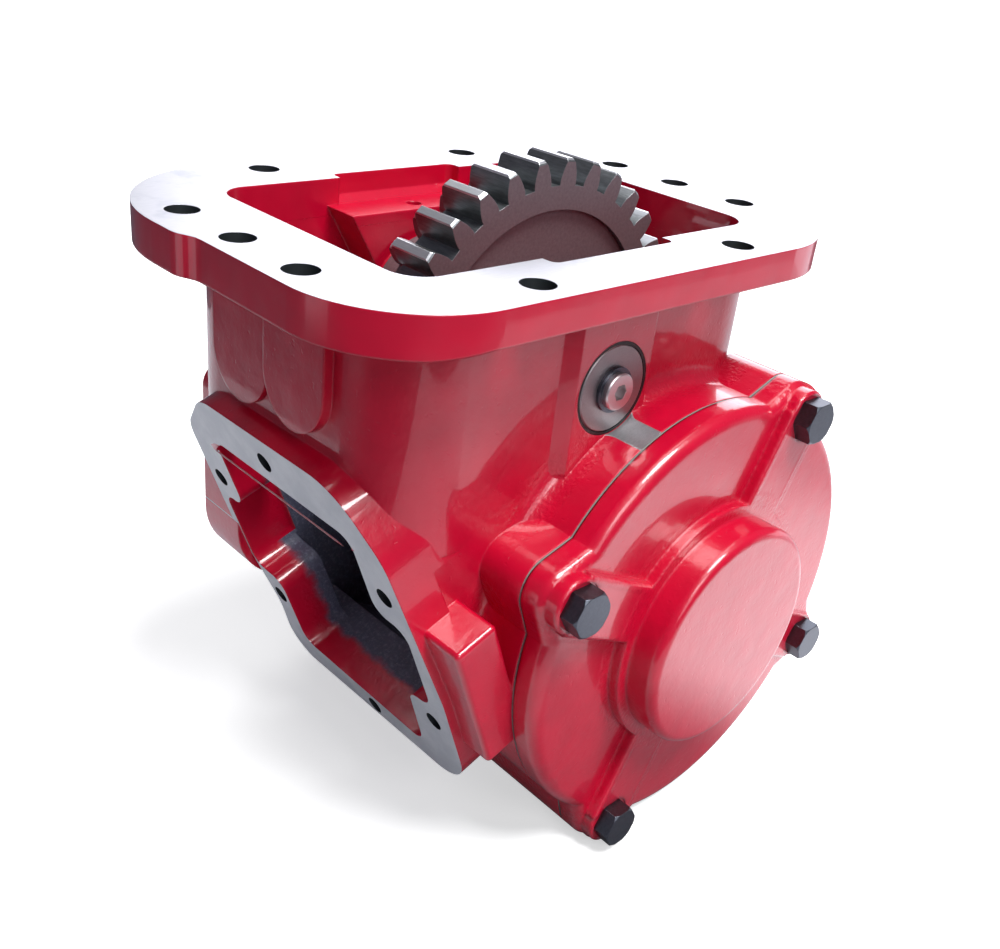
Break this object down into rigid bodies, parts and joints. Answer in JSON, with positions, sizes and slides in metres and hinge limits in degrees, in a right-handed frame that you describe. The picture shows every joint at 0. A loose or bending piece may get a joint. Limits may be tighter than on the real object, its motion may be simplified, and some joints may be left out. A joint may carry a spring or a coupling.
{
  "type": "power take off unit",
  "caption": "Transmission power take off: cast housing with a bolt flange and gear window, idler cluster gear, shiftable sliding gear and keyed output shaft.",
  "frame": {"origin": "centre of the mounting flange's machined face, at the middle of its hole pattern", "axes": "+Z out of the mounting face, +X along the flange's long side, +Y towards the output shaft's end"},
  "size_m": [0.2596, 0.268, 0.2655],
  "materials": {
    "painted_casting": "gloss red enamel on a cast skin, bare machined faces",
    "gear_steel": "dark carburised faces, bright ground flanks",
    "shaft_steel": "ground",
    "bearing_steel": "polished",
    "cage_steel": "pressed strip",
    "washer_bronze": "fine turned",
    "bolt_steel": "black oxide",
    "plug_steel": "bright zinc",
    "gasket_fibre": "compressed fibre",
    "seal_rubber": "matt nitrile rubber"
  },
  "bodies": {
    "case": {"housing": "painted_casting", "bearing_cover": "painted_casting", "cover_gasket": "gasket_fibre", "cover_bolts": "bolt_steel", "idler_shaft": "shaft_steel", "idler_shaft_o_ring": "seal_rubber", "idler_shaft_plug": "plug_steel", "idler_plug_washer": "bolt_steel", "idler_shaft_pin": "bearing_steel", "front_thrust_washer": "washer_bronze", "rear_thrust_washer": "washer_bronze", "front_bearing_outer_race": "bearing_steel", "rear_bearing_outer_race": "bearing_steel", "rear_bearing_cap": "painted_casting", "rear_cap_gasket": "gasket_fibre", "rear_cap_bolts": "bolt_steel", "output_oil_seal": "seal_rubber"},
    "cluster": {"cluster_gear": "gear_steel"},
    "front_needles": {"front_needle_cage": "cage_steel", "front_needle_rollers": "bearing_steel", "needle_spacer": "shaft_steel"},
    "rear_needles": {"rear_needle_cage": "cage_steel", "rear_needle_rollers": "bearing_steel"},
    "output": {"output_shaft": "shaft_steel", "output_shaft_snap_ring": "bolt_steel", "front_bearing_inner_race": "bearing_steel", "rear_bearing_inner_race": "bearing_steel"},
    "shift_gear": {"sliding_gear": "gear_steel"},
    "front_balls": {"front_bearing_balls": "bearing_steel", "front_bearing_cage": "cage_steel"},
    "rear_balls": {"rear_bearing_balls": "bearing_steel", "rear_bearing_cage": "cage_steel"}
  },
  "joints": [
    {"name": "cluster_spin", "type": "hinge", "parent": "case", "child": "cluster", "pos_m": [0, 0, -0.0477], "axis": [0, 1, 0], "continuous": true},
    {"name": "front_needle_orbit", "type": "hinge", "parent": "case", "child": "front_needles", "pos_m": [0, 0, -0.0477], "axis": [0, 1, 0], "continuous": true},
    {"name": "rear_needle_orbit", "type": "hinge", "parent": "case", "child": "rear_needles", "pos_m": [0, 0, -0.0477], "axis": [0, 1, 0], "continuous": true},
    {"name": "output_spin", "type": "hinge", "parent": "case", "child": "output", "pos_m": [0.04218, 0, -0.14707], "axis": [0, 1, 0], "continuous": true},
    {"name": "sliding_gear_shift", "type": "slide", "parent": "output", "child": "shift_gear", "axis": [0, 1, 0], "range_m": [0, 0.0166]},
    {"name": "front_ball_orbit", "type": "hinge", "parent": "case", "child": "front_balls", "pos_m": [0.04218, 0, -0.14707], "axis": [0, 1, 0], "continuous": true},
    {"name": "rear_ball_orbit", "type": "hinge", "parent": "case", "child": "rear_balls", "pos_m": [0.04218, 0, -0.14707], "axis": [0, 1, 0], "continuous": true}
  ],
  "couplings": [
    {"joint": "output_spin", "follows": "cluster_spin", "ratio": -0.96154},
    {"joint": "front_needle_orbit", "follows": "cluster_spin", "ratio": 0.54207},
    {"joint": "rear_needle_orbit", "follows": "cluster_spin", "ratio": 0.54207},
    {"joint": "front_ball_orbit", "follows": "cluster_spin", "ratio": -0.38192},
    {"joint": "rear_ball_orbit", "follows": "cluster_spin", "ratio": -0.38462}
  ]
}
